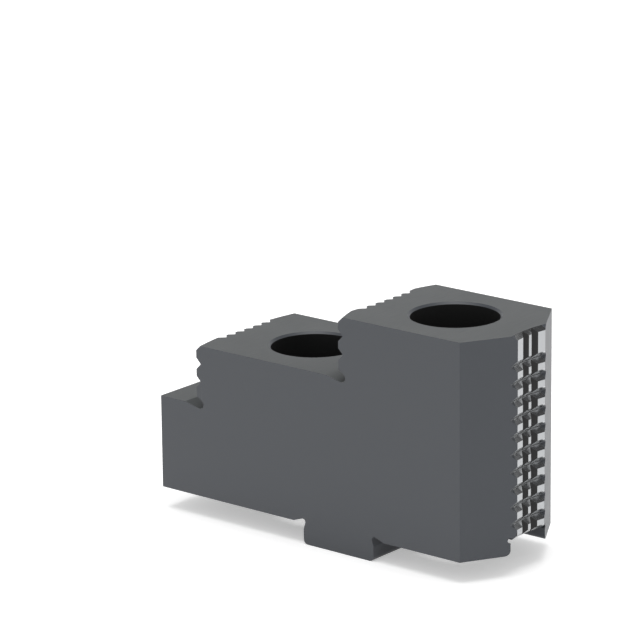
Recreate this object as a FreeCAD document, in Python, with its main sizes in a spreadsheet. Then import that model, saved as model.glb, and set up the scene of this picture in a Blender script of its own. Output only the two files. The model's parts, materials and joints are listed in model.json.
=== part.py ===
"""Reversible top jaw for a three-jaw lathe chuck: one hardened steel block.

The jaw steps up towards a 120 degree tip. A cross tongue and a lengthwise slot under it key it
to the master jaw, and two counterbored holes take the clamping screws. Its gripping faces are
the hollow-ground tip and the two risers, all cross-grooved so that they bite.

Frame, in millimetres: X runs along the jaw towards the tip, Y across it and Z up. The origin is
the middle of the tongue, on the base plane that seats on the master jaw.
"""
import FreeCAD, Part
import math
import os
import Sketcher

# Driving sizes: name, value, what it measures.
DRIVING = [
    ("jaw_width", "33.6", "across the side faces"),
    ("back_length", "52", "middle of the tongue to the back end"),
    ("chuck_axis", "43.7", "middle of the tongue to the lathe axis when the jaws are closed"),
    ("step_low", "22", "height of the first step"),
    ("step_mid", "36", "height of the second step"),
    ("step_high", "50", "height of the tip block"),
    ("tip_angle", "120", "degrees between the two flats of the tip"),
    ("tip_hollow", "33", "radius of the hollow ground into the tip"),
    ("tip_land", "10", "width of the tip's gripping face"),
    ("tip_chamfer", "1", "bevel at both ends of the tip's gripping face"),
    ("radius_low", "86.4", "lower riser, turned on the lathe axis"),
    ("radius_high", "46.4", "upper riser, turned on the lathe axis"),
    ("riser_chamfer", "1.2", "bevel along the top of each riser"),
    ("hollow_low", "100", "radius of the hollow ground into the lower riser"),
    ("hollow_high", "130", "radius of the hollow ground into the upper riser"),
    ("face_low", "40.6", "middle of the tongue back to the lower riser's gripping face"),
    ("face_high", "0.45", "middle of the tongue forward to the upper riser's gripping face"),
    ("tongue_width", "20", "cross tongue, along the jaw"),
    ("tongue_depth", "5", "cross tongue, below the base plane"),
    ("tongue_round", "1.2", "radius along the tongue's lower edges"),
    ("slot_width", "12.7", "lengthwise slot"),
    ("slot_depth", "3.5", "lengthwise slot, above the base plane"),
    ("slot_round", "1.2", "radius along the mouth of the slot"),
    ("slot_relief", "0.6", "radius cut into the two upper corners of the slot"),
    ("screw_spacing", "40", "between the clamping screws"),
    ("screw_clearance", "13.5", "through hole for an M12 screw"),
    ("screw_head", "20", "counterbore for the screw's head"),
    ("screw_seat", "18", "height of the seat under the screw's head"),
    ("rim_chamfer", "0.5", "bevel round each counterbore"),
    ("tooth_pitch", "4", "between the level grooves of the tip"),
    ("tooth_first", "7", "height of the lowest level groove of the tip"),
    ("tooth_count", "10", "level grooves of the tip"),
    ("tooth_depth", "1.15", "level grooves of the tip"),
    ("rib_pitch", "3.1", "between the upright grooves"),
    ("rib_depth", "1", "upright grooves"),
    ("tip_rib_count", "2", "upright grooves of the tip"),
    ("riser_rib_count", "6", "upright grooves of each riser"),
    ("bite_pitch", "4.3", "between the level grooves of a riser, and below its top"),
    ("bite_count", "2", "level grooves of each riser"),
    ("bite_depth", "1.25", "level grooves of each riser, at its ends"),
    ("root_radius", "0.2", "root of every groove"),
    ("relief_ramp", "3.6", "length of the undercut in front of a riser"),
    ("relief_rise", "1.9", "height of the undercut up a riser"),
    ("relief_nose", "1.1", "radius of the undercut's nose"),
    ("relief_depth", "1", "undercut below the step"),
    ("relief_inset", "0.8", "nose centre inside the riser"),
    ("neck_ramp", "2.9", "length of the undercut beside the tongue"),
    ("neck_drop", "1.4", "height of the undercut down the tongue"),
    ("neck_nose", "0.7", "radius of that undercut's nose"),
    ("neck_offset", "0.2", "nose centre off the tongue's wall"),
    ("overrun", "2", "how far a cutter runs past the block"),
]

# Worked-out places: name, formula, what it is.
DERIVED = [
    ("half_width", "=jaw_width / 2", "side face"),
    ("side_near", "=-half_width - overrun", "past one side face"),
    ("side_far", "=half_width + overrun", "past the other side face"),
    ("back_end", "=-back_length", "back end"),
    ("level", "=0 * jaw_width", "base plane, and the middle plane of the jaw"),
    ("root_wedge", "=(sqrt(2) - 1) * root_radius", "square groove's corner past its round root"),
    ("above", "=step_high + overrun", "over the tip block"),
    ("blank_low", "=chuck_axis - radius_low", "lower riser before its hollow is cut"),
    ("blank_high", "=chuck_axis - radius_high", "upper riser before its hollow is cut"),
    ("corner", "=chuck_axis - half_width / tan(tip_angle / 2 * 1 deg)", "side face meets flat"),
    ("flat_clear", "=chuck_axis + overrun", "ahead of the tip"),
    ("flat_side", "=(half_width + overrun)", "beside the flats"),
    ("flat_back", "=chuck_axis - flat_side / tan(tip_angle / 2 * 1 deg)", "flat, run past the side"),
    ("arris", "=chuck_axis - tip_land / 2 / tan(tip_angle / 2 * 1 deg)", "flat meets tip face"),
    ("tip_axis", "=arris + sqrt(tip_hollow ^ 2 - (tip_land / 2) ^ 2)", "centre of the tip's hollow"),
    ("tip_face", "=tip_axis - tip_hollow", "deepest line of the tip face"),
    ("tongue_front", "=tongue_width / 2", "tongue wall towards the tip"),
    ("tongue_back", "=-tongue_width / 2", "tongue wall towards the back"),
    ("tongue_foot", "=-tongue_depth", "underside of the tongue"),
    ("below", "=-tongue_depth - overrun", "under the tongue"),
    ("slot_near", "=-slot_width / 2", "one wall of the slot"),
    ("slot_far", "=slot_width / 2", "the other wall of the slot"),
    ("screw_front", "=screw_spacing / 2", "screw in the tip block"),
    ("screw_back", "=-screw_spacing / 2", "screw in the second step"),
    # The turned envelope, measured from the lathe axis.
    ("turn_low", "=-radius_low", "lower riser"),
    ("turn_low_top", "=-radius_low + riser_chamfer", "lower riser, top of its bevel"),
    ("turn_high", "=-radius_high", "upper riser"),
    ("turn_high_top", "=-radius_high + riser_chamfer", "upper riser, top of its bevel"),
    ("turn_outer", "=-radius_low - overrun", "outside the lower riser"),
    ("bevel_low", "=step_mid - riser_chamfer", "foot of the lower bevel"),
    ("bevel_high", "=step_high - riser_chamfer", "foot of the upper bevel"),
    # The hollows of the risers, each measured from its own grinding axis.
    ("axis_low", "=-face_low - hollow_low", "grinding axis of the lower riser"),
    ("axis_high", "=face_high - hollow_high", "grinding axis of the upper riser"),
    ("ring_low", "=hollow_low - 3 * overrun", "inner side of the lower cut"),
    ("ring_high", "=hollow_high - 3 * overrun", "inner side of the upper cut"),
    # The tip's face and its teeth, measured from the tip's grinding axis.
    ("grind_face", "=-tip_hollow", "tip face"),
    ("grind_bevel", "=-tip_hollow - tip_chamfer", "tip face, behind its bevels"),
    ("grind_front", "=-tip_hollow + 2 * overrun", "ahead of the tip"),
    ("grind_foot", "=slot_depth + tip_chamfer", "top of the lower bevel"),
    ("grind_head", "=step_high - tip_chamfer", "foot of the upper bevel"),
    ("tooth_centre", "=-tip_hollow - tooth_depth + root_radius", "centre of a tooth root"),
    ("tooth_mouth", "=-tip_hollow + overrun", "open side of a tooth groove"),
    ("tooth_high", "=tooth_first + overrun + tooth_depth + root_wedge", "upper flank"),
    ("tooth_low", "=tooth_first - overrun - tooth_depth - root_wedge", "lower flank"),
    ("tooth_run", "=(tooth_count - 1) * tooth_pitch", "first level groove to the last"),
    # The upright grooves; the first one is the furthest towards -Y.
    ("rib_half", "=overrun + rib_depth + root_wedge", "half the mouth of an upright groove"),
    ("tip_rib", "=-(tip_rib_count - 1) / 2 * rib_pitch", "first upright groove of the tip"),
    ("tip_rib_run", "=(tip_rib_count - 1) * rib_pitch", "first to last on the tip"),
    ("tip_rib_root", "=tip_face - rib_depth + root_radius", "centre of its root"),
    ("tip_rib_mouth", "=tip_face + overrun", "its open side"),
    ("tip_rib_near", "=tip_rib - rib_half", "its flank towards -Y"),
    ("tip_rib_far", "=tip_rib + rib_half", "its flank towards +Y"),
    ("riser_rib", "=-(riser_rib_count - 1) / 2 * rib_pitch", "first upright groove of a riser"),
    ("riser_rib_run", "=(riser_rib_count - 1) * rib_pitch", "first to last on a riser"),
    ("riser_rib_near", "=riser_rib - rib_half", "its flank towards -Y"),
    ("riser_rib_far", "=riser_rib + rib_half", "its flank towards +Y"),
    ("low_rib_root", "=-face_low + rib_depth - root_radius", "centre of its root, lower riser"),
    ("low_rib_mouth", "=-face_low - overrun", "its open side, lower riser"),
    ("high_rib_root", "=face_high + rib_depth - root_radius", "centre of its root, upper riser"),
    ("high_rib_mouth", "=face_high - overrun", "its open side, upper riser"),
    ("rise_low", "=step_mid - step_low", "height of the lower riser"),
    ("rise_high", "=step_high - step_mid", "height of the upper riser"),
    # The level grooves of the risers, straight across; each riser's end is its turned corner.
    ("end_low", "=chuck_axis - sqrt(radius_low ^ 2 - half_width ^ 2)", "lower riser at the side"),
    ("end_high", "=chuck_axis - sqrt(radius_high ^ 2 - half_width ^ 2)", "upper riser at the side"),
    ("bite_half", "=2 * overrun + bite_depth + root_wedge", "half the mouth of a groove"),
    ("bite_run", "=(bite_count - 1) * bite_pitch", "first level groove to the last"),
    ("low_bite", "=step_mid - bite_pitch", "upper groove of the lower riser"),
    ("low_bite_up", "=low_bite + bite_half", "its upper flank"),
    ("low_bite_down", "=low_bite - bite_half", "its lower flank"),
    ("low_bite_root", "=end_low + bite_depth - root_radius", "centre of its root"),
    ("low_bite_mouth", "=end_low - 2 * overrun", "its open side"),
    ("high_bite", "=step_high - bite_pitch", "upper groove of the upper riser"),
    ("high_bite_up", "=high_bite + bite_half", "its upper flank"),
    ("high_bite_down", "=high_bite - bite_half", "its lower flank"),
    ("high_bite_root", "=end_high + bite_depth - root_radius", "centre of its root"),
    ("high_bite_mouth", "=end_high - 2 * overrun", "its open side"),
    # The undercuts at the feet of the risers and beside the tongue.
    ("nose_rise", "=relief_nose - relief_depth", "nose centre over the step"),
    ("low_ramp", "=end_low - relief_ramp", "undercut starts on the first step"),
    ("low_nose", "=end_low + relief_inset", "nose centre, lower riser"),
    ("low_nose_up", "=step_low + nose_rise", "its height"),
    ("low_relief_up", "=step_low + relief_rise", "undercut ends on the lower riser"),
    ("high_ramp", "=end_high - relief_ramp", "undercut starts on the second step"),
    ("high_nose", "=end_high + relief_inset", "nose centre, upper riser"),
    ("high_nose_up", "=step_mid + nose_rise", "its height"),
    ("high_relief_up", "=step_mid + relief_rise", "undercut ends on the upper riser"),
    ("neck_start", "=tongue_front + neck_ramp", "undercut starts on the base plane"),
    ("neck_centre", "=tongue_front + neck_offset", "its nose centre"),
    ("neck_end", "=-neck_drop", "undercut ends on the tongue"),
]

THROUGH = "ThroughAll"

doc = FreeCAD.newDocument("top_jaw")
sheet = doc.addObject("Spreadsheet::Sheet", "dims")


def fill_sheet():
    """Write every size into the sheet, under its own name."""
    for row, (name, amount, note) in enumerate(DRIVING + DERIVED, start=1):
        sheet.set("A%d" % row, note)
        sheet.set("B%d" % row, amount)
        sheet.setAlias("B%d" % row, name)
    doc.recompute()


def size(name):
    """The number in one cell of the sheet."""
    return float(sheet.get(name))


def bind(feature, prop, name):
    """Let a cell of the sheet drive a property."""
    feature.setExpression(prop, "dims." + name)


def origin_part(body, role):
    """One of the body's own base planes or axes."""
    for part in body.Origin.OriginFeatures:
        if part.Role == role:
            return part
    raise ValueError(role)


def new_sketch(body, name, plane, across=None, height=None):
    """A sketch on a base plane, moved along X or raised to a height when asked."""
    sketch = body.newObject("Sketcher::SketchObject", name)
    sketch.AttachmentSupport = [(origin_part(body, plane), "")]
    sketch.MapMode = "FlatFace"
    if across:
        bind(sketch, "AttachmentOffset.Base.x", across)
    if height:
        bind(sketch, "AttachmentOffset.Base.z", height)
    return sketch


def pin(sketch, geometry, point, corner):
    """Tie a point of the sketch to a pair of cells: its place across and up."""
    for kind, name in zip(("DistanceX", "DistanceY"), corner):
        rule = Sketcher.Constraint(kind, -1, 1, geometry, point, size(name))
        index = sketch.addConstraint(rule)
        bind(sketch, "Constraints[%d]" % index, name)


def vector(corner):
    """A point at a pair of cells."""
    return FreeCAD.Vector(size(corner[0]), size(corner[1]), 0)


def polygon(sketch, corners):
    """A closed outline of straight lines through the corners."""
    count = len(corners)
    for index, corner in enumerate(corners):
        following = corners[(index + 1) % count]
        sketch.addGeometry(Part.LineSegment(vector(corner), vector(following)), False)
    for index in range(count):
        sketch.addConstraint(Sketcher.Constraint("Coincident", index, 2, (index + 1) % count, 1))
    for index, corner in enumerate(corners):
        pin(sketch, index, 1, corner)


def circle(sketch, centre, radius):
    """A circle on a pair of cells."""
    shape = Part.Circle(vector(centre), FreeCAD.Vector(0, 0, 1), size(radius))
    index = sketch.addGeometry(shape, False)
    pin(sketch, index, 3, centre)
    rule = sketch.addConstraint(Sketcher.Constraint("Radius", index, size(radius)))
    bind(sketch, "Constraints[%d]" % rule, radius)


def tangent_heading(point, centre, radius, side):
    """Direction from the centre to where a line from the point touches the circle."""
    away = point - centre
    return math.atan2(away.y, away.x) + side * math.acos(radius / away.Length)


def round_groove(sketch, first, centre, radius, last):
    """Two flanks that run tangent into a round nose, closed across the mouth.

    The nose is swept anticlockwise from the flank of the first corner to that of the last.
    """
    start, middle, end = vector(first), vector(centre), vector(last)
    reach = size(radius)
    turn_in = tangent_heading(start, middle, reach, 1)
    turn_out = tangent_heading(end, middle, reach, -1)
    while turn_out < turn_in:
        turn_out += 2 * math.pi
    nose = Part.ArcOfCircle(Part.Circle(middle, FreeCAD.Vector(0, 0, 1), reach), turn_in, turn_out)
    sketch.addGeometry(Part.LineSegment(start, nose.StartPoint), False)
    sketch.addGeometry(nose, False)
    sketch.addGeometry(Part.LineSegment(nose.EndPoint, end), False)
    sketch.addGeometry(Part.LineSegment(end, start), False)
    sketch.addConstraint(Sketcher.Constraint("Tangent", 0, 2, 1, 1))
    sketch.addConstraint(Sketcher.Constraint("Tangent", 1, 2, 2, 1))
    sketch.addConstraint(Sketcher.Constraint("Coincident", 2, 2, 3, 1))
    sketch.addConstraint(Sketcher.Constraint("Coincident", 3, 2, 0, 1))
    pin(sketch, 0, 1, first)
    pin(sketch, 1, 3, centre)
    pin(sketch, 2, 2, last)
    rule = sketch.addConstraint(Sketcher.Constraint("Radius", 1, reach))
    bind(sketch, "Constraints[%d]" % rule, radius)


def pocket_through(body, name, sketch):
    """Cut a sketch right through the block, both ways."""
    cut = body.newObject("PartDesign::Pocket", name)
    cut.Profile = sketch
    cut.Type = THROUGH
    cut.SideType = "Symmetric"
    return cut


def pocket_down(body, name, sketch, depth):
    """Cut a sketch downwards by a depth."""
    cut = body.newObject("PartDesign::Pocket", name)
    cut.Profile = sketch
    bind(cut, "Length", depth)
    return cut


def turn_away(body, name, sketch):
    """Cut a sketch all the way round its own upright axis."""
    cut = body.newObject("PartDesign::Groove", name)
    cut.Profile = sketch
    cut.ReferenceAxis = (sketch, ["V_Axis"])
    cut.Angle = 360
    return cut


def repeat(body, name, feature, axis, run, count):
    """Repeat a cut in a row that is run long from first to last."""
    row = body.newObject("PartDesign::LinearPattern", name)
    row.Originals = [feature]
    row.Direction = (origin_part(body, axis), [""])
    bind(row, "Length", run)
    bind(row, "Occurrences", count)
    body.Tip = row
    return row


def edges_where(feature, test):
    """Names of the edges of a feature's shape that pass a test."""
    doc.recompute()
    found = []
    for index, edge in enumerate(feature.Shape.Edges, start=1):
        if test(edge):
            found.append("Edge%d" % index)
    return found


def near(one, other):
    """Two lengths that are the same."""
    return abs(one - other) < 1e-4


def runs_along(edge, axis):
    """A straight edge parallel to the axis with this letter."""
    if edge.Curve.TypeId != "Part::GeomLine":
        return False
    return near(abs(getattr(edge.Curve.Direction, axis)), 1)


def stepped_block(body):
    """The stepped side outline with its tongue, as wide as the jaw."""
    sketch = new_sketch(body, "side_outline", "XZ_Plane")
    polygon(sketch, [
        ("back_end", "level"), ("back_end", "step_low"),
        ("blank_low", "step_low"), ("blank_low", "step_mid"),
        ("blank_high", "step_mid"), ("blank_high", "step_high"),
        ("chuck_axis", "step_high"), ("chuck_axis", "level"),
        ("tongue_front", "level"), ("tongue_front", "tongue_foot"),
        ("tongue_back", "tongue_foot"), ("tongue_back", "level"),
    ])
    block = body.newObject("PartDesign::Pad", "stepped_block")
    block.Profile = sketch
    block.SideType = "Symmetric"
    bind(block, "Length", "jaw_width")
    return block


def tongue_rounds(body, block):
    """Round the two lower edges of the tongue."""
    def lower_edge(edge):
        return runs_along(edge, "y") and near(edge.BoundBox.ZMax, -size("tongue_depth"))
    rounds = body.newObject("PartDesign::Fillet", "tongue_rounds")
    rounds.Base = (block, edges_where(block, lower_edge))
    bind(rounds, "Radius", "tongue_round")


def tip_flats(body):
    """The two flats that close on the neighbouring jaws."""
    for name, side in (("near", "side_near"), ("far", "side_far")):
        sketch = new_sketch(body, "flat_outline_" + name, "XY_Plane")
        polygon(sketch, [
            ("chuck_axis", "level"), ("flat_back", side), ("flat_clear", side),
            ("flat_clear", "level"),
        ])
        pocket_through(body, "tip_flat_" + name, sketch)


def turned_risers(body):
    """Both risers and their bevels, turned with the three jaws closed."""
    sketch = new_sketch(body, "turned_outline", "XZ_Plane", across="chuck_axis")
    polygon(sketch, [
        ("turn_low", "step_low"), ("turn_low", "bevel_low"), ("turn_low_top", "step_mid"),
        ("turn_high", "step_mid"), ("turn_high", "bevel_high"), ("turn_high_top", "step_high"),
        ("turn_high_top", "above"), ("turn_outer", "above"), ("turn_outer", "step_low"),
    ])
    turn_away(body, "turned_risers", sketch)


def riser_hollow(body, riser, floor, top):
    """The hollow ground into one riser."""
    sketch = new_sketch(body, "hollow_outline_" + riser, "XZ_Plane", across="axis_" + riser)
    polygon(sketch, [
        ("ring_" + riser, floor), ("hollow_" + riser, floor),
        ("hollow_" + riser, top), ("ring_" + riser, top),
    ])
    turn_away(body, "riser_hollow_" + riser, sketch)


def riser_grooves(body, riser, top):
    """Level grooves straight across one riser, and upright ones down it."""
    sketch = new_sketch(body, "bite_outline_" + riser, "XZ_Plane")
    mouth = riser + "_bite_mouth"
    round_groove(
        sketch, (mouth, riser + "_bite_down"), (riser + "_bite_root", riser + "_bite"),
        "root_radius", (mouth, riser + "_bite_up"),
    )
    cut = pocket_through(body, "bite_" + riser, sketch)
    row = repeat(body, "bites_" + riser, cut, "Z_Axis", "bite_run", "bite_count")
    row.Reversed = True

    sketch = new_sketch(body, "rib_outline_" + riser, "XY_Plane", height=top)
    mouth = riser + "_rib_mouth"
    round_groove(
        sketch, (mouth, "riser_rib_near"), (riser + "_rib_root", "riser_rib"),
        "root_radius", (mouth, "riser_rib_far"),
    )
    cut = pocket_down(body, "rib_" + riser, sketch, "rise_" + riser)
    repeat(body, "ribs_" + riser, cut, "Y_Axis", "riser_rib_run", "riser_rib_count")


def riser_relief(body, riser, floor):
    """The undercut along the foot of one riser."""
    sketch = new_sketch(body, "relief_outline_" + riser, "XZ_Plane")
    round_groove(
        sketch, (riser + "_ramp", floor), (riser + "_nose", riser + "_nose_up"),
        "relief_nose", ("end_" + riser, riser + "_relief_up"),
    )
    pocket_through(body, "riser_relief_" + riser, sketch)


def tip_face(body):
    """The tip's hollow-ground face with a bevel at each end."""
    sketch = new_sketch(body, "tip_outline", "XZ_Plane", across="tip_axis")
    polygon(sketch, [
        ("grind_bevel", "slot_depth"), ("grind_face", "grind_foot"), ("grind_face", "grind_head"),
        ("grind_bevel", "step_high"), ("grind_bevel", "above"), ("grind_front", "above"),
        ("grind_front", "slot_depth"),
    ])
    turn_away(body, "tip_face", sketch)


def tip_teeth(body):
    """Level grooves round the tip's hollow, crossed by upright ones."""
    sketch = new_sketch(body, "tooth_outline", "XZ_Plane", across="tip_axis")
    round_groove(
        sketch, ("tooth_mouth", "tooth_high"), ("tooth_centre", "tooth_first"),
        "root_radius", ("tooth_mouth", "tooth_low"),
    )
    cut = turn_away(body, "tooth", sketch)
    repeat(body, "teeth", cut, "Z_Axis", "tooth_run", "tooth_count")

    sketch = new_sketch(body, "tip_rib_outline", "XY_Plane")
    round_groove(
        sketch, ("tip_rib_mouth", "tip_rib_far"), ("tip_rib_root", "tip_rib"),
        "root_radius", ("tip_rib_mouth", "tip_rib_near"),
    )
    cut = pocket_through(body, "tip_rib", sketch)
    repeat(body, "tip_ribs", cut, "Y_Axis", "tip_rib_run", "tip_rib_count")


def key_slot(body):
    """The lengthwise slot through base and tongue, with relieved upper corners."""
    sketch = new_sketch(body, "slot_outline", "YZ_Plane")
    polygon(sketch, [
        ("slot_near", "below"), ("slot_near", "slot_depth"),
        ("slot_far", "slot_depth"), ("slot_far", "below"),
    ])
    slot = pocket_through(body, "key_slot", sketch)

    def mouth_edge(edge):
        box = edge.BoundBox
        on_wall = near(abs(box.YMax), size("slot_width") / 2)
        return runs_along(edge, "x") and near(box.ZMax, 0) and on_wall
    rounds = body.newObject("PartDesign::Fillet", "slot_rounds")
    rounds.Base = (slot, edges_where(slot, mouth_edge))
    bind(rounds, "Radius", "slot_round")

    sketch = new_sketch(body, "slot_relief_outline", "YZ_Plane")
    circle(sketch, ("slot_near", "slot_depth"), "slot_relief")
    circle(sketch, ("slot_far", "slot_depth"), "slot_relief")
    pocket_through(body, "slot_reliefs", sketch)


def tongue_reliefs(body):
    """The undercut where the tongue meets the base plane, on both of its walls."""
    sketch = new_sketch(body, "neck_outline", "XZ_Plane")
    round_groove(
        sketch, ("neck_start", "level"), ("neck_centre", "neck_offset"),
        "neck_nose", ("tongue_front", "neck_end"),
    )
    cut = pocket_through(body, "neck_front", sketch)
    other = body.newObject("PartDesign::Mirrored", "neck_back")
    other.Originals = [cut]
    other.MirrorPlane = (origin_part(body, "YZ_Plane"), [""])
    body.Tip = other


def screw_hole(body, name, place, top):
    """A clearance hole with its counterbore, down from one of the levels."""
    sketch = new_sketch(body, name + "_centre", "XY_Plane", height=top)
    circle(sketch, (place, "level"), "screw_clearance")
    doc.recompute()
    hole = body.newObject("PartDesign::Hole", name)
    hole.Profile = sketch
    hole.DepthType = THROUGH
    hole.HoleCutType = "Counterbore"
    hole.HoleCutCustomValues = True
    bind(hole, "Diameter", "screw_clearance")
    bind(hole, "HoleCutDiameter", "screw_head")
    hole.setExpression("HoleCutDepth", "dims.%s - dims.screw_seat" % top)
    return hole


def rim_bevels(body, hole):
    """Break the rims of both counterbores."""
    def rim(edge):
        if edge.Curve.TypeId != "Part::GeomCircle":
            return False
        on_top = near(edge.BoundBox.ZMin, size("step_mid")) or near(edge.BoundBox.ZMin, size("step_high"))
        return near(edge.Curve.Radius, size("screw_head") / 2) and on_top
    bevels = body.newObject("PartDesign::Chamfer", "rim_bevels")
    bevels.Base = (hole, edges_where(hole, rim))
    bind(bevels, "Size", "rim_chamfer")


def top_jaw():
    """The whole jaw, cut from its stepped block."""
    body = doc.addObject("PartDesign::Body", "top_jaw")
    body.Label = "top_jaw"
    body.Placement = FreeCAD.Placement()
    block = stepped_block(body)
    tongue_rounds(body, block)
    tip_flats(body)
    turned_risers(body)
    riser_hollow(body, "low", "step_low", "step_mid")
    riser_hollow(body, "high", "step_mid", "step_high")
    key_slot(body)
    tip_face(body)
    screw_hole(body, "back_screw", "screw_back", "step_mid")
    hole = screw_hole(body, "front_screw", "screw_front", "step_high")
    rim_bevels(body, hole)
    riser_grooves(body, "low", "step_mid")
    riser_grooves(body, "high", "step_high")
    riser_relief(body, "low", "step_low")
    riser_relief(body, "high", "step_mid")
    tongue_reliefs(body)
    tip_teeth(body)
    return body


def check_document():
    """Stop at any object that failed to build."""
    for part in doc.Objects:
        if "Invalid" in part.State or "Error" in part.State:
            raise RuntimeError("%s: %s" % (part.Name, part.State))


def export(body):
    """Write the finished solid as a STEP file named after its body."""
    shape = body.Shape
    if shape.isNull() or not shape.isValid():
        raise RuntimeError("%s has no valid shape" % body.Label)
    os.makedirs("parts", exist_ok=True)
    shape.exportStep("parts/%s.step" % body.Label)


fill_sheet()
jaw = top_jaw()
doc.recompute()
check_document()
export(jaw)
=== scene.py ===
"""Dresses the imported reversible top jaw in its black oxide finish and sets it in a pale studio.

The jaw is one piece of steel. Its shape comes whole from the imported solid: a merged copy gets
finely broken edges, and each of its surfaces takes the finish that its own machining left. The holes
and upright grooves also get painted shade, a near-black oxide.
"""
import json
import math

import bpy
import numpy as np
from mathutils import Matrix, Vector


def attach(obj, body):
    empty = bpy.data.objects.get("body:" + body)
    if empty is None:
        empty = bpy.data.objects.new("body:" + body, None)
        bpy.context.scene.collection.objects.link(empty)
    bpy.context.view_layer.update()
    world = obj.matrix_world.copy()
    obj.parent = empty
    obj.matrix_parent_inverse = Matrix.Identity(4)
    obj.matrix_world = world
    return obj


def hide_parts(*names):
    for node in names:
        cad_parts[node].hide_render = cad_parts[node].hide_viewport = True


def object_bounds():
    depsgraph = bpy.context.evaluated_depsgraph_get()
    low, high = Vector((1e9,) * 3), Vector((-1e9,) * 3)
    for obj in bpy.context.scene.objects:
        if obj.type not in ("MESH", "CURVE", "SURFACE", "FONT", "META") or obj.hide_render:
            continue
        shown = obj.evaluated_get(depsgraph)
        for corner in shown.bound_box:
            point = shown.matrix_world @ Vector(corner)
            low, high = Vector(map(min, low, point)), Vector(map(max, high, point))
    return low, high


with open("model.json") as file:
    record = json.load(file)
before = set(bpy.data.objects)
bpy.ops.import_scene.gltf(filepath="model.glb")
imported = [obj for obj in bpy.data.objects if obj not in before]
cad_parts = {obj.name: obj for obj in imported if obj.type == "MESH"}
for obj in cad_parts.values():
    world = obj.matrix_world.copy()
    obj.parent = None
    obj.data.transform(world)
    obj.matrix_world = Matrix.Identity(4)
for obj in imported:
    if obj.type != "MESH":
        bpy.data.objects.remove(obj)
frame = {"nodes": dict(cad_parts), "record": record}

bl_info = {
    "name": "Reversible top jaw",
    "version": (1, 0, 0),
    "blender": (4, 5, 0),
    "location": "View3D > Sidebar > Top jaw",
    "description": "Dresses the top jaw and its studio",
    "category": "Object",
}

CAD_BOX = [list(map(float, corner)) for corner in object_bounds()]
NODE = "top_jaw"
MM = 0.001

# Where the gripping face of the tip lies, measured back from the jaw's end and out from its middle.
TOOTH_REACH = 2.2 * MM
LAND_REACH = 0.6 * MM
TOOTH_HALF = 5.1 * MM

# How far past a bore's own wall a face still counts as the bore's, and how far from the jaw's
# underside and top it no longer does.
BORE_MARGIN = 0.1 * MM
UNDERSIDE_SKIN = 1 * MM
TOP_SKIN = 2 * MM

# Part of a face's normal along an axis. A face square to the axis has more than SQUARE_ON, or
# than TRULY_SQUARE where leaning flanks lie close by. One that leans towards it has more than
# LEANING, one that faces forward more than FORWARD, and one that stands upright less than UPRIGHT.
SQUARE_ON = 0.9
TRULY_SQUARE = 0.95
FORWARD = 0.5
LEANING = 0.3
UPRIGHT = 0.1

# Corners this near are one. An edge is shaded sharp past the first angle and broken past the second.
WELD_DISTANCE = 0.001 * MM
SHARP_ABOVE = math.radians(25)
BREAK_ABOVE = math.radians(35)

# Lumps to the millimetre of the fine pitting and of the oxide's wandering shade, and how much the
# cutter's marks and that shade change the roughness.
PIT_SCALE = 4.0
CLOUD_SCALE = 0.06
MARK_ROUGHNESS = 0.16
CLOUD_ROUGHNESS = 0.1

# What a polished face mirrors: (sine of the angle above level, grey). Below level is as at level.
MIRRORED_SWEEP = [(0.0, 1.0), (0.30, 1.0), (0.46, 0.10), (0.85, 0.10), (1.0, 0.6)]

JAW_MIDDLE_HEIGHT = 20 * MM
SENSOR_WIDTH = 36
NEAREST_SEEN = 10 * MM


# --- Shader maths -----------------------------------------------------------------------------

class Signal:
    """A number or colour that varies over a surface. Arithmetic on it adds Math nodes."""

    def __init__(self, graph, socket):
        self.graph = graph
        self.socket = socket

    def math(self, operation, *others):
        return self.graph.add("ShaderNodeMath", {"operation": operation}, [self, *others])

    def __add__(self, other):
        return self.math("ADD", other)

    def __sub__(self, other):
        return self.math("SUBTRACT", other)

    def __rsub__(self, other):
        return self.graph.add("ShaderNodeMath", {"operation": "SUBTRACT"}, [other, self])

    def __mul__(self, other):
        return self.math("MULTIPLY", other)

    __radd__ = __add__
    __rmul__ = __mul__


class Graph:
    """The nodes of one material or world."""

    def __init__(self, owner):
        owner.use_nodes = True
        self.tree = owner.node_tree
        self.tree.nodes.clear()

    def add(self, kind, settings=None, inputs=None, output=0):
        """One node of any type: its settings first, then what its sockets hold or are linked to."""
        node = self.tree.nodes.new(kind)
        for name, value in (settings or {}).items():
            if name == "stops":
                self.set_stops(node.color_ramp, value)
            else:
                setattr(node, name, value)
        pairs = inputs.items() if isinstance(inputs, dict) else enumerate(inputs or [])
        for key, value in pairs:
            if isinstance(value, Signal):
                self.tree.links.new(value.socket, node.inputs[key])
            else:
                node.inputs[key].default_value = value
        return Signal(self, node.outputs[output]) if node.outputs else None

    @staticmethod
    def set_stops(ramp, stops):
        """Colour stops of a ramp: (position, grey or colour)."""
        while len(ramp.elements) < len(stops):
            ramp.elements.new(1)
        for element, (position, colour) in zip(ramp.elements, stops):
            element.position = position
            element.color = (*colour, 1) if isinstance(colour, tuple) else (colour, colour, colour, 1)

    def place(self):
        """The point on the piece, in the jaw's own frame."""
        return self.add("ShaderNodeTexCoord", output="Object")

    def noise(self, scale, stretch=(1, 1, 1), detail=2.0, roughness=0.5):
        """Noise from 0 to 1, scale lumps to the millimetre, drawn out by stretch along each axis."""
        mapped = self.add("ShaderNodeMapping", {}, {
            "Vector": self.place(),
            "Scale": tuple(scale / MM / part for part in stretch),
        })
        return self.add("ShaderNodeTexNoise", {}, {
            "Vector": mapped, "Scale": 1.0, "Detail": detail, "Roughness": roughness,
        })

    def tint(self, colour, factor):
        """A colour darkened or lightened by a factor that varies."""
        grey = self.add("ShaderNodeCombineXYZ", {}, [factor, factor, factor])
        settings = {"operation": "MULTIPLY"}
        return self.add("ShaderNodeVectorMath", settings, [tuple(colour), grey])


# --- Finishes ---------------------------------------------------------------------------------

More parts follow.
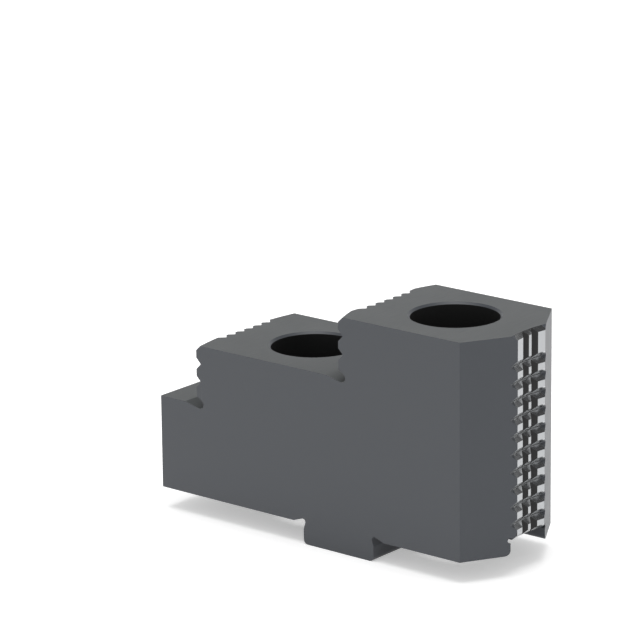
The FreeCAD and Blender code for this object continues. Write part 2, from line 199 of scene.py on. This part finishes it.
def surface(name, colour, roughness, lines, metallic=0.0, specular=0.4,
            grain=0.002, mottle=0.05, line_depth=0.002):
    """A machined and blackened surface.

    lines draws out the marks of the cutter, as lengths in millimetres along X, Y and Z, and
    line_depth is how deep they go. grain is the depth of the fine pitting, also in millimetres,
    and mottle the share by which the oxide's shade wanders.
    """
    material = bpy.data.materials.new(name)
    graph = Graph(material)
    marks = graph.noise(1.0, lines, detail=3.0)
    pits = graph.noise(PIT_SCALE)
    cloud = graph.noise(CLOUD_SCALE, detail=4.0, roughness=0.6)
    shade = 1 + (cloud - 0.5) * (2 * mottle) + (marks - 0.5) * mottle
    height = marks * line_depth + pits * grain
    bump = graph.add("ShaderNodeBump", {}, {"Height": height, "Distance": MM, "Strength": 1.0})
    shader = graph.add("ShaderNodeBsdfPrincipled", {}, {
        "Base Color": graph.tint(colour, shade),
        "Roughness": (marks - 0.5) * MARK_ROUGHNESS + (cloud - 0.5) * CLOUD_ROUGHNESS + roughness,
        "Metallic": metallic,
        "Specular IOR Level": specular,
        "Normal": bump,
    })
    graph.add("ShaderNodeOutputMaterial", {}, {"Surface": shader})
    return material


def finishes(looks):
    """Each finish of the jaw, in the order of the copy's material slots."""
    oxide = tuple(looks.oxide_colour)
    level = tuple(looks.level_colour)
    bright = tuple(looks.bright_colour)
    groove = tuple(looks.hollow_oxide_painted_shade_colour)
    return [
        surface("side_oxide", oxide, 0.42, lines=(6, 1, 0.12), specular=0.5),
        surface("step_oxide", level, 0.40, lines=(0.12, 6, 1), specular=0.35, mottle=0.06),
        surface("flat_oxide", oxide, 0.42, lines=(0.5, 0.5, 8)),
        # The bores take the oxide with painted shade, far darker than on the sides, because the holes
        # are in shade.
        surface("bore_oxide_painted_shade", groove, 0.5, lines=(4, 4, 0.15), specular=0.25,
                mottle=0.08, line_depth=0.003),
        surface("ground_tip", bright, 0.3, lines=(1, 1, 8), metallic=0.9, specular=0.5, grain=0.001),
        surface("level_groove", bright, 0.25, lines=(1, 8, 1), metallic=1.0, specular=0.5,
                grain=0.001, line_depth=0.001),
        # The upright grooves take the same near-black painted shade for their recessed flanks and
        # roots.
        surface("upright_groove_painted_shade", groove, 0.45, lines=(1, 1, 8), specular=0.3),
    ]


SIDE, STEP, FLAT, BORE, LAND, LEVEL_GROOVE, UPRIGHT_GROOVE = range(7)


def sort_faces(mesh):
    """The finish of every face, told from which way it faces and where it lies.

    A step faces up or down, and a flat stands upright and faces forward. On the tip's gripping
    face a land is square to X close to the jaw's end, a level groove's flank leans up or down,
    and an upright groove has flanks that lean to a side and a root behind the lands.
    """
    count = len(mesh.polygons)
    normals = np.empty(count * 3)
    centres = np.empty(count * 3)
    mesh.polygons.foreach_get("normal", normals)
    mesh.polygons.foreach_get("center", centres)
    normals = normals.reshape(-1, 3)
    centres = centres.reshape(-1, 3)
    nx, ny, nz = normals.T
    low, high = (np.array(corner) for corner in CAD_BOX)
    finish = np.full(count, SIDE)
    finish[np.abs(nz) > SQUARE_ON] = STEP
    finish[(nx > FORWARD) & (np.abs(nz) < UPRIGHT)] = FLAT
    # Faces inside the bores get the finish with painted shade.
    for mount in frame["record"]["mounts"]:
        if mount["kind"] != "bore":
            continue
        across = centres[:, :2] - np.array(mount["pos_m"][:2])
        inside = np.hypot(*across.T) < mount["dims"]["r_mm"] * MM + BORE_MARGIN
        finish[inside & (centres[:, 2] > low[2] + UNDERSIDE_SKIN) & (np.abs(nz) < SQUARE_ON)] = BORE
        finish[inside & (centres[:, 2] < high[2] - TOP_SKIN) & (nz > SQUARE_ON)] = BORE
    at_tip = (centres[:, 0] > high[0] - TOOTH_REACH) & (np.abs(centres[:, 1]) < TOOTH_HALF)
    forward = centres[:, 0] > high[0] - LAND_REACH
    leans_up = (np.abs(nz) > LEANING) & (np.abs(nz) < TRULY_SQUARE)
    leans_aside = np.abs(ny) > LEANING
    finish[at_tip & forward & (nx > TRULY_SQUARE)] = LAND
    finish[at_tip & leans_up & (np.abs(ny) < LEANING)] = LEVEL_GROOVE
    # The flanks and roots of the upright grooves get the finish with painted shade.
    finish[at_tip & leans_aside & (nx > LEANING)] = UPRIGHT_GROOVE
    finish[at_tip & ~forward & (nx > SQUARE_ON)] = UPRIGHT_GROOVE
    return finish


# --- The jaw ----------------------------------------------------------------------------------

def merged_copy(node, name):
    """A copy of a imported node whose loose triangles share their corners."""
    mesh = frame["nodes"][node].data.copy()
    mesh.name = name
    piece = bpy.data.objects.new(name, mesh)
    bpy.context.scene.collection.objects.link(piece)
    weld = piece.modifiers.new("weld", "WELD")
    weld.merge_threshold = WELD_DISTANCE
    depsgraph = bpy.context.evaluated_depsgraph_get()
    welded = bpy.data.meshes.new_from_object(piece.evaluated_get(depsgraph))
    welded.name = name
    piece.modifiers.clear()
    piece.data = welded
    bpy.data.meshes.remove(mesh)
    return piece


def dress_jaw(looks):
    """The jaw with its finishes and its broken edges."""
    piece = merged_copy(NODE, "jaw_body")
    mesh = piece.data
    mesh.materials.clear()
    for material in finishes(looks):
        mesh.materials.append(material)
    mesh.polygons.foreach_set("material_index", sort_faces(mesh).astype(np.int32))
    mesh.polygons.foreach_set("use_smooth", np.ones(len(mesh.polygons), dtype=bool))
    mesh.set_sharp_from_angle(angle=SHARP_ABOVE)
    bevel = piece.modifiers.new("broken_edges", "BEVEL")
    bevel.limit_method = "ANGLE"
    bevel.angle_limit = BREAK_ABOVE
    bevel.width = looks.edge_break
    bevel.segments = 2
    # 50 weighs every face alike, and 100 lets the large flat faces set the normals at their edges.
    even = piece.modifiers.new("even_shading", "WEIGHTED_NORMAL")
    even.weight = 100
    even.keep_sharp = True
    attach(piece, "root")
    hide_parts(NODE)


# --- The studio -------------------------------------------------------------------------------

def light_world(studio):
    """White for what looks at the background, a level light for everything else.

    What a polished face mirrors is white up to the edge of the sweep, dark above it and lighter
    again overhead.
    """
    world = bpy.data.worlds.new("studio")
    bpy.context.scene.world = world
    graph = Graph(world)
    direction = graph.add("ShaderNodeTexCoord", output="Generated")
    height = graph.add("ShaderNodeSeparateXYZ", {}, [direction], output=2)
    sweep = graph.add("ShaderNodeValToRGB", {"stops": MIRRORED_SWEEP}, [height])
    path = graph.add("ShaderNodeLightPath", output="Is Camera Ray")
    glossy = graph.add("ShaderNodeLightPath", output="Is Glossy Ray")
    clear = graph.add("ShaderNodeLightPath", output="Is Transmission Ray")
    level = graph.add("ShaderNodeBackground", {}, {"Color": (1, 1, 1, 1), "Strength": studio.fill})
    seen = graph.add("ShaderNodeBackground", {}, {"Color": (1, 1, 1, 1), "Strength": 1.0})
    mirrored = graph.add("ShaderNodeBackground", {}, {"Color": sweep, "Strength": 1.0})
    shown = graph.add("ShaderNodeMixShader", {}, [glossy.math("MAXIMUM", clear), level, mirrored])
    whole = graph.add("ShaderNodeMixShader", {}, [path, shown, seen])
    graph.add("ShaderNodeOutputWorld", {}, {"Surface": whole})


def lay_floor(studio):
    """A round pale floor under the jaw.

    Point (r, t) of the grid lies at (r cos t, r sin t). r goes from the middle out to the rim in
    rings that widen as the square of their number, and t once round.
    """
    rings, spokes = 24, 96
    radius = np.linspace(0, 1, rings + 1)[1:] ** 2 * studio.floor_radius
    turn = np.linspace(0, 2 * np.pi, spokes, endpoint=False)
    ring = np.stack([np.outer(radius, np.cos(turn)), np.outer(radius, np.sin(turn))], -1)
    points = np.concatenate([np.zeros((1, 2)), ring.reshape(-1, 2)])
    points = np.column_stack([points, np.full(len(points), CAD_BOX[0][2])])
    index = 1 + np.arange(rings * spokes).reshape(rings, spokes)
    after = np.roll(index, -1, axis=1)
    quads = np.stack([index[:-1], index[1:], after[1:], after[:-1]], -1).reshape(-1, 4)
    fan = np.stack([np.zeros(spokes, int), index[0], after[0]], -1)
    mesh = bpy.data.meshes.new("floor")
    mesh.from_pydata(points.tolist(), [], fan.tolist() + quads.tolist())
    material = bpy.data.materials.new("pale_floor")
    graph = Graph(material)
    matte = graph.add("ShaderNodeBsdfDiffuse", {}, {"Color": (*studio.floor_colour, 1)})
    glow = graph.add("ShaderNodeEmission", {}, {"Color": (1, 1, 1, 1), "Strength": studio.floor_lift})
    seen = graph.add("ShaderNodeLightPath", output="Is Camera Ray")
    glossy = graph.add("ShaderNodeLightPath", output="Is Glossy Ray")
    clear = graph.add("ShaderNodeLightPath", output="Is Transmission Ray")
    lift = graph.add("ShaderNodeAddShader", {}, [matte, glow])
    either = seen.math("MAXIMUM", glossy).math("MAXIMUM", clear)
    shader = graph.add("ShaderNodeMixShader", {}, [either, matte, lift])
    graph.add("ShaderNodeOutputMaterial", {}, {"Surface": shader})
    mesh.materials.append(material)
    floor = bpy.data.objects.new("floor", mesh)
    bpy.context.scene.collection.objects.link(floor)


def hang_lamp(studio):
    """A soft square lamp straight over the jaw, looking down."""
    light = bpy.data.lights.new("overhead", "AREA")
    light.shape = "SQUARE"
    light.size = studio.lamp_size
    light.energy = studio.lamp_power
    lamp = bpy.data.objects.new("overhead", light)
    lamp.location = (0, 0, JAW_MIDDLE_HEIGHT + studio.lamp_height)
    bpy.context.scene.collection.objects.link(lamp)


def aim_camera(studio):
    """A long lens aimed at the jaw from its turn and tilt, a touch off level."""
    turn, tilt, roll = studio.camera_turn, studio.camera_tilt, studio.camera_roll
    back = Vector((
        math.sin(turn) * math.cos(tilt), -math.cos(turn) * math.cos(tilt), math.sin(tilt),
    ))
    right = Vector((math.cos(turn), math.sin(turn), 0))
    up = back.cross(right)
    across = right * math.cos(roll) + up * math.sin(roll)
    above = up * math.cos(roll) - right * math.sin(roll)
    camera = bpy.data.objects.new("camera", bpy.data.cameras.new("camera"))
    camera.data.lens = studio.lens
    camera.data.sensor_width = SENSOR_WIDTH
    camera.data.clip_start = NEAREST_SEEN
    frame_axes = Matrix((across, above, back)).transposed().to_4x4()
    place = Vector(studio.camera_target) + back * studio.camera_distance
    camera.matrix_world = Matrix.Translation(place) @ frame_axes
    bpy.context.scene.collection.objects.link(camera)
    bpy.context.scene.camera = camera


# --- Add-on -----------------------------------------------------------------------------------

class JawLooks(bpy.types.PropertyGroup):
    """Sizes and colours of the jaw that a user would change."""
    edge_break: bpy.props.FloatProperty(
        name="Edge break", description="Width of the bevel along the jaw's edges",
        default=0.00015, min=0, unit="LENGTH", precision=5)
    oxide_colour: bpy.props.FloatVectorProperty(
        name="Oxide", description="Black oxide on the ground sides",
        default=(0.062, 0.068, 0.078), size=3, min=0, max=1, subtype="COLOR")
    level_colour: bpy.props.FloatVectorProperty(
        name="Steps", description="Black oxide on the level faces",
        default=(0.062, 0.068, 0.070), size=3, min=0, max=1, subtype="COLOR")
    bright_colour: bpy.props.FloatVectorProperty(
        name="Ground steel", description="Bare steel of the gripping lands",
        default=(0.42, 0.43, 0.44), size=3, min=0, max=1, subtype="COLOR")
    # Black oxide made near-black with painted shade, for the inside of the holes and the upright
    # grooves.
    hollow_oxide_painted_shade_colour: bpy.props.FloatVectorProperty(
        name="Hollows", description="Black oxide in the holes and upright grooves",
        default=(0.014, 0.014, 0.014), size=3, min=0, max=1, subtype="COLOR")


class JawStudio(bpy.types.PropertyGroup):
    """Floor, light and camera round the jaw."""
    floor_radius: bpy.props.FloatProperty(
        name="Floor radius", description="From the middle of the floor to its rim",
        default=6.0, min=0.5, unit="LENGTH")
    floor_colour: bpy.props.FloatVectorProperty(
        name="Floor", description="Colour of the pale floor",
        default=(0.9, 0.9, 0.9), size=3, min=0, max=1, subtype="COLOR")
    floor_lift: bpy.props.FloatProperty(
        name="Floor lift", description="Light added to the floor where it is looked at",
        default=0.4, min=0, subtype="FACTOR")
    fill: bpy.props.FloatProperty(
        name="Fill", description="Strength of the level light from all round",
        default=0.6, min=0, subtype="FACTOR")
    lamp_power: bpy.props.FloatProperty(
        name="Overhead lamp", description="Power of the soft lamp over the jaw",
        default=9.0, min=0, unit="POWER")
    lamp_size: bpy.props.FloatProperty(
        name="Lamp size", description="Side of the square lamp over the jaw",
        default=0.9, min=0.01, unit="LENGTH")
    lamp_height: bpy.props.FloatProperty(
        name="Lamp height", description="From the jaw up to the overhead lamp",
        default=1.2, min=0.1, unit="LENGTH")
    camera_turn: bpy.props.FloatProperty(
        name="Camera turn", description="Round the jaw from its side towards its tip",
        default=math.radians(39.344), subtype="ANGLE")
    camera_tilt: bpy.props.FloatProperty(
        name="Camera tilt", description="Up from level",
        default=math.radians(16.199), subtype="ANGLE")
    camera_roll: bpy.props.FloatProperty(
        name="Camera roll", description="About the line of sight",
        default=math.radians(-0.59), subtype="ANGLE")
    camera_distance: bpy.props.FloatProperty(
        name="Camera distance", description="From the point looked at",
        default=0.9094, min=0.1, unit="LENGTH")
    camera_target: bpy.props.FloatVectorProperty(
        name="Camera target", description="Point on the jaw's middle plane that the camera looks at",
        default=(-0.0184, 0, 0.0420), size=3, subtype="TRANSLATION", unit="LENGTH")
    lens: bpy.props.FloatProperty(
        name="Lens", description="Focal length on a 36 mm sensor",
        default=226.46, min=10, subtype="DISTANCE_CAMERA")


class JAW_OT_dress(bpy.types.Operator):
    """Dress the jaw in its finishes, with its edges broken"""
    bl_idname = "jaw.dress"
    bl_label = "Dress the jaw"

    def execute(self, context):
        dress_jaw(context.scene.jaw_looks)
        return {"FINISHED"}


class JAW_OT_stage(bpy.types.Operator):
    """Light the world, lay the floor, hang the lamp and aim the camera"""
    bl_idname = "jaw.stage"
    bl_label = "Set the studio"

    def execute(self, context):
        studio = context.scene.jaw_studio
        context.scene.view_settings.view_transform = "Standard"
        light_world(studio)
        lay_floor(studio)
        hang_lamp(studio)
        aim_camera(studio)
        return {"FINISHED"}


class JAW_PT_panel(bpy.types.Panel):
    """Lists the jaw's operators and sizes"""
    bl_label = "Top jaw"
    bl_space_type = "VIEW_3D"
    bl_region_type = "UI"
    bl_category = "Top jaw"

    def draw(self, context):
        for group, operator in (
            (context.scene.jaw_looks, "jaw.dress"),
            (context.scene.jaw_studio, "jaw.stage"),
        ):
            box = self.layout.box()
            box.operator(operator)
            for name in group.bl_rna.properties.keys():
                if name not in ("rna_type", "name"):
                    box.prop(group, name)


CLASSES = (JawLooks, JawStudio, JAW_OT_dress, JAW_OT_stage, JAW_PT_panel)


def register():
    for part in CLASSES:
        bpy.utils.register_class(part)
    bpy.types.Scene.jaw_looks = bpy.props.PointerProperty(type=JawLooks)
    bpy.types.Scene.jaw_studio = bpy.props.PointerProperty(type=JawStudio)


def unregister():
    del bpy.types.Scene.jaw_looks
    del bpy.types.Scene.jaw_studio
    for part in reversed(CLASSES):
        bpy.utils.unregister_class(part)


def main():
    register()
    bpy.ops.jaw.dress()
    bpy.ops.jaw.stage()


if __name__ == "__main__":
    main()
